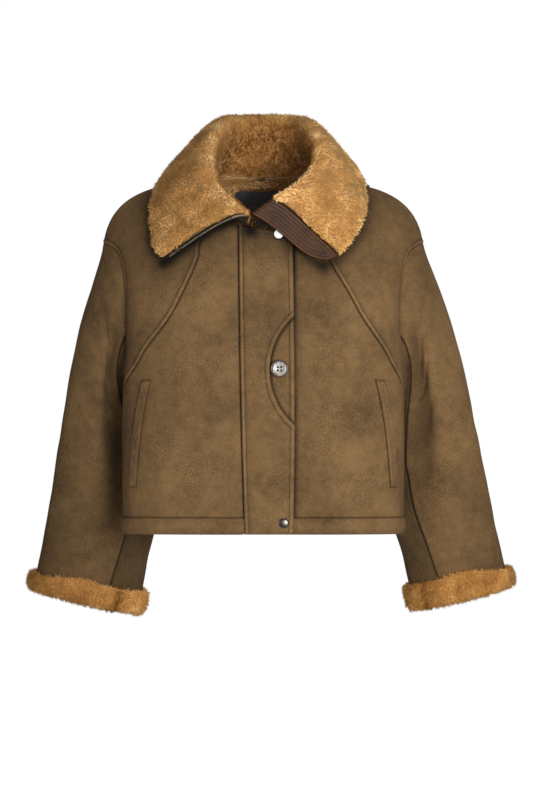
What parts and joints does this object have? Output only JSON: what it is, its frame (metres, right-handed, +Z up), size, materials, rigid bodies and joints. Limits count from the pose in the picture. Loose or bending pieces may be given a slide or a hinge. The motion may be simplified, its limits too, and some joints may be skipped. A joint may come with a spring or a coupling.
{
  "type": "teddy coat",
  "caption": "Short shearling-look coat with suede face, big fur collar, turned-back fur cuffs and a half-moon cut in the front placket, filled out as worn",
  "frame": {"origin": "at the centre of the neck hollow between the shoulders, where the filled-out coat is held", "axes": "+X to the wearer's left, +Y to the back, +Z up; the front faces -Y"},
  "size_m": [0.7401, 0.3121, 0.7581],
  "materials": {
    "suede": "brown bonded suede, soft nap with fine grain and cloudy tone",
    "fur": "camel faux shearling pile, short, dense and wavy, lighter at the tips",
    "leather": "dark brown smooth leather, quilted in parallel rows",
    "tape": "dark woven zip tape",
    "nickel": "dull nickel plate, lightly worn",
    "pearl": "pale pearl-like button centre",
    "horn": "dark horn-like button rim",
    "label": "plain charcoal woven label"
  },
  "bodies": {
    "root": {"back": "suede", "neck_label": "label", "front_right": "suede", "front_left": "suede", "shoulder_right": "suede", "shoulder_left": "suede", "pocket_welt_right": "suede", "pocket_welt_left": "suede", "sleeve_upper_right": "suede", "sleeve_upper_left": "suede", "sleeve_under_right": "suede", "sleeve_under_left": "suede", "cuff_right": "fur", "cuff_left": "fur", "placket": "suede", "placket_under": "suede", "button_rim": "horn", "button_disc": "pearl", "snap_top": "nickel", "snap_bottom": "nickel", "hem_right": "suede", "hem_left": "suede", "hem_back": "suede", "collar_fur": "fur", "collar_shell": "suede", "collar_tab": "leather", "zip_tape": "tape", "zip_stop": "nickel"}
  },
  "joints": []
}
